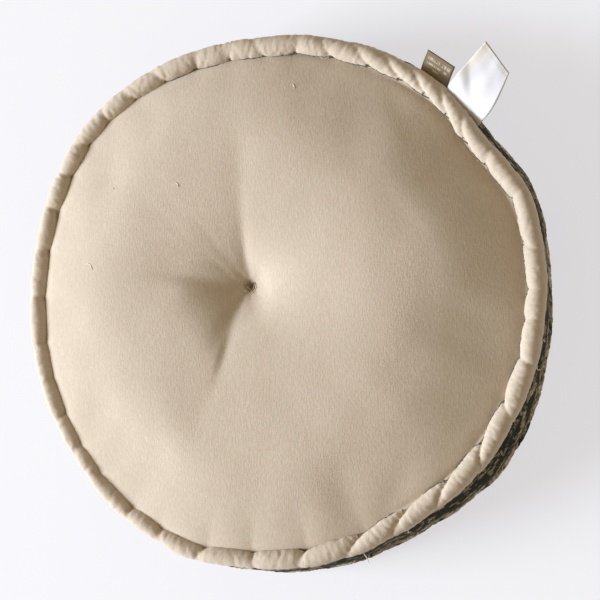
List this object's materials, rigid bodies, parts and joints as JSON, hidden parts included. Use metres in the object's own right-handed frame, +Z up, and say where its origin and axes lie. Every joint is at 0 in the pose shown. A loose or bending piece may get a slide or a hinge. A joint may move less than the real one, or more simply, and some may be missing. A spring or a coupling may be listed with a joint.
{
  "type": "chair seat pad",
  "caption": "Round tufted seat pad with a plain domed back, a patterned front and side band, rolled edges stitched round both rims, and two sewn-in labels.",
  "frame": {"origin": "under the middle of the pad, at the level of the flat on its patterned front that it lies on", "axes": "+Z up through the pad from its patterned front to its plain back; +X to the right and +Y away, with the tuft towards -X and the labels towards +X +Y"},
  "size_m": [0.4008, 0.4008, 0.0797],
  "materials": {
    "plain_cloth": "matte",
    "patterned_cloth": "matte",
    "wadding": "matte",
    "roll_wadding": "matte",
    "core_fibre": "matte",
    "stitch_thread": "matte",
    "tuft_twine": "matte",
    "brand_label": "satin",
    "care_label": "satin"
  },
  "bodies": {
    "pad": {"back_panel": "plain_cloth", "back_roll_cover": "plain_cloth", "back_roll_filler": "roll_wadding", "back_groove_thread": "stitch_thread", "back_seam_thread": "stitch_thread", "back_tuft_knot": "tuft_twine", "back_wadding": "wadding", "side_band": "patterned_cloth", "side_wadding": "wadding", "band_join_thread": "stitch_thread", "fibre_core": "core_fibre", "tuft_twine": "tuft_twine", "front_panel": "patterned_cloth", "front_roll_cover": "patterned_cloth", "front_roll_filler": "roll_wadding", "front_groove_thread": "stitch_thread", "front_seam_thread": "stitch_thread", "front_tuft_knot": "tuft_twine", "front_wadding": "wadding"},
    "brand_flap": {"brand_label": "brand_label"},
    "care_flap": {"care_label": "care_label"}
  },
  "joints": [
    {"name": "brand_flap_bend", "type": "hinge", "parent": "pad", "child": "brand_flap", "pos_m": [0.11525, 0.16521, 0.0526], "axis": [0.8202, -0.5721, 0], "range_deg": [-70, 50]},
    {"name": "care_flap_bend", "type": "hinge", "parent": "pad", "child": "care_flap", "pos_m": [0.13942, 0.14539, 0.0526], "axis": [0.7218, -0.6921, 0], "range_deg": [-65, 55]}
  ]
}
